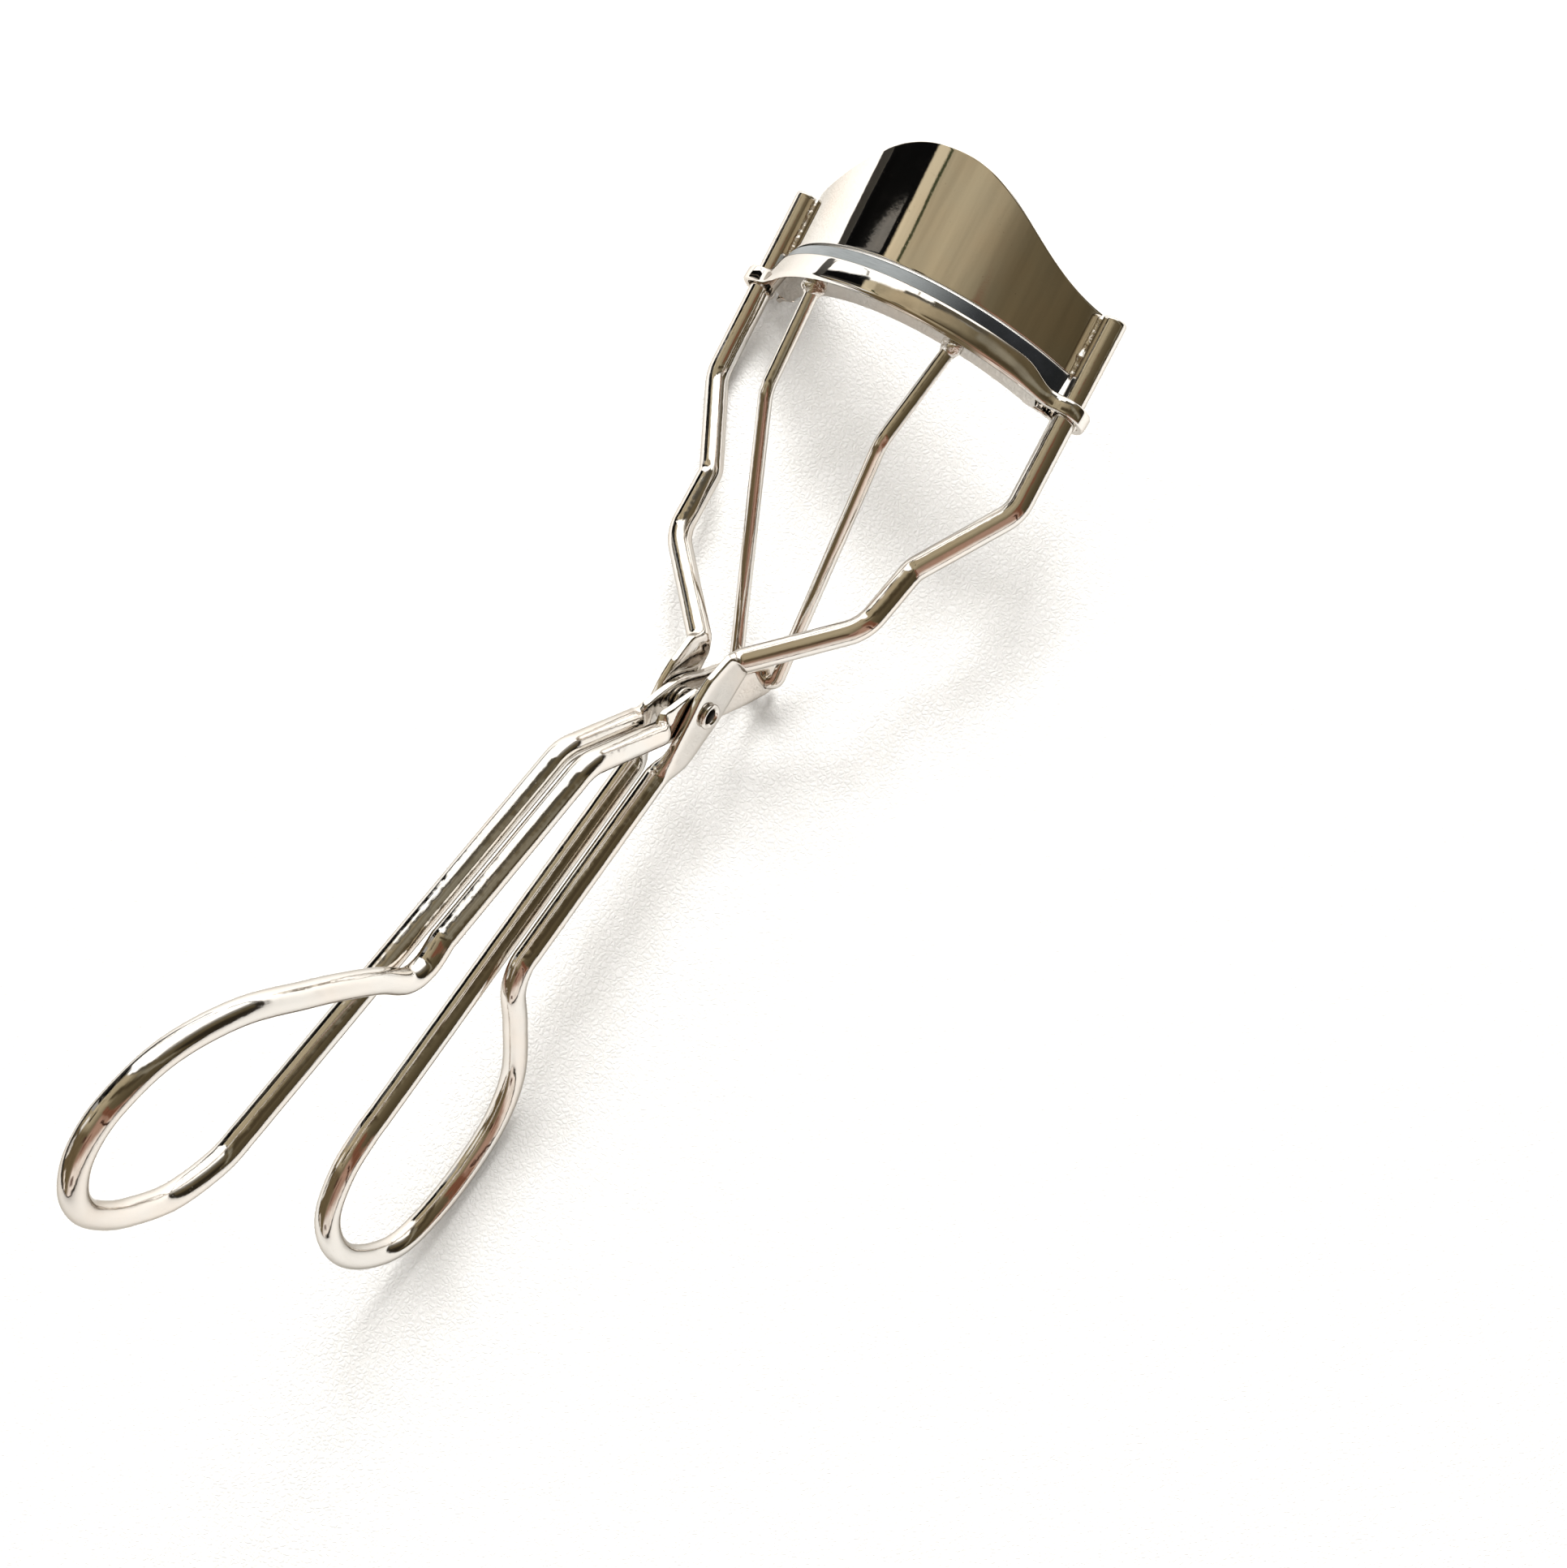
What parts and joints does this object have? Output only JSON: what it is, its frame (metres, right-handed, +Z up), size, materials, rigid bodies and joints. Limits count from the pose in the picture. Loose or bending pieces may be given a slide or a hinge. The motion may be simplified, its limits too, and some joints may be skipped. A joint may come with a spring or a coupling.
{
  "type": "eyelash curler",
  "caption": "Scissor-action eyelash curler: bent-wire frame and lever with finger loops, domed curved upper plate, and a lower jaw with a rubber pad that slides on two guide rods.",
  "frame": {"origin": "On the table surface, at the middle of the footprint: the bottom centre of the bounding box of the tool as it lies. The middle of the main hinge is about 3 mm in front of it (+Y) and 9.3 mm above it.", "axes": "+Z up from the table on which the curler rests by itself, +Y from the finger loops towards the head, +X from the left guide rod towards the right one. The curler rests rolled onto its left rod, so the hinge line rises towards +X and isn't a row axis: the joint axes in behaviour give it."},
  "size_m": [0.035, 0.109, 0.0471],
  "materials": {
    "plated_wire": "bright nickel-chrome plating on round steel wire, with fine drawing lines and small bend marks",
    "polished_plate": "mirror-polished bright plating on thin steel sheet",
    "rivet": "bright plating on a rolled tubular rivet",
    "braze": "lumpy brazed bead under the same bright plating",
    "pad_rubber": "smooth dark grey silicone rubber with a soft sheen"
  },
  "bodies": {
    "frame": {"frame_wire": "plated_wire", "upper_plate": "polished_plate", "plate_braze_left": "braze", "plate_braze_right": "braze", "rivet_left": "rivet", "rivet_right": "rivet"},
    "lever": {"lever_wire": "plated_wire"},
    "pusher": {"pusher_wire": "plated_wire", "pusher_braze_left": "braze", "pusher_braze_right": "braze", "lower_jaw": "polished_plate", "jaw_pad": "pad_rubber"}
  },
  "joints": [
    {"name": "lever_hinge", "type": "hinge", "parent": "frame", "child": "lever", "pos_m": [-0.00034, 0.0029, 0.00929], "axis": [-0.9278, 0, -0.3731], "range_deg": [-1.2, 38]},
    {"name": "pusher_hinge", "type": "hinge", "parent": "lever", "child": "pusher", "pos_m": [0.00264, 0.00893, 0.00189], "axis": [-0.9278, 0, -0.3731], "range_deg": [-41, 1.4]}
  ],
  "couplings": [
    {"joint": "pusher_hinge", "follows": "lever_hinge", "ratio": -1.0685}
  ]
}
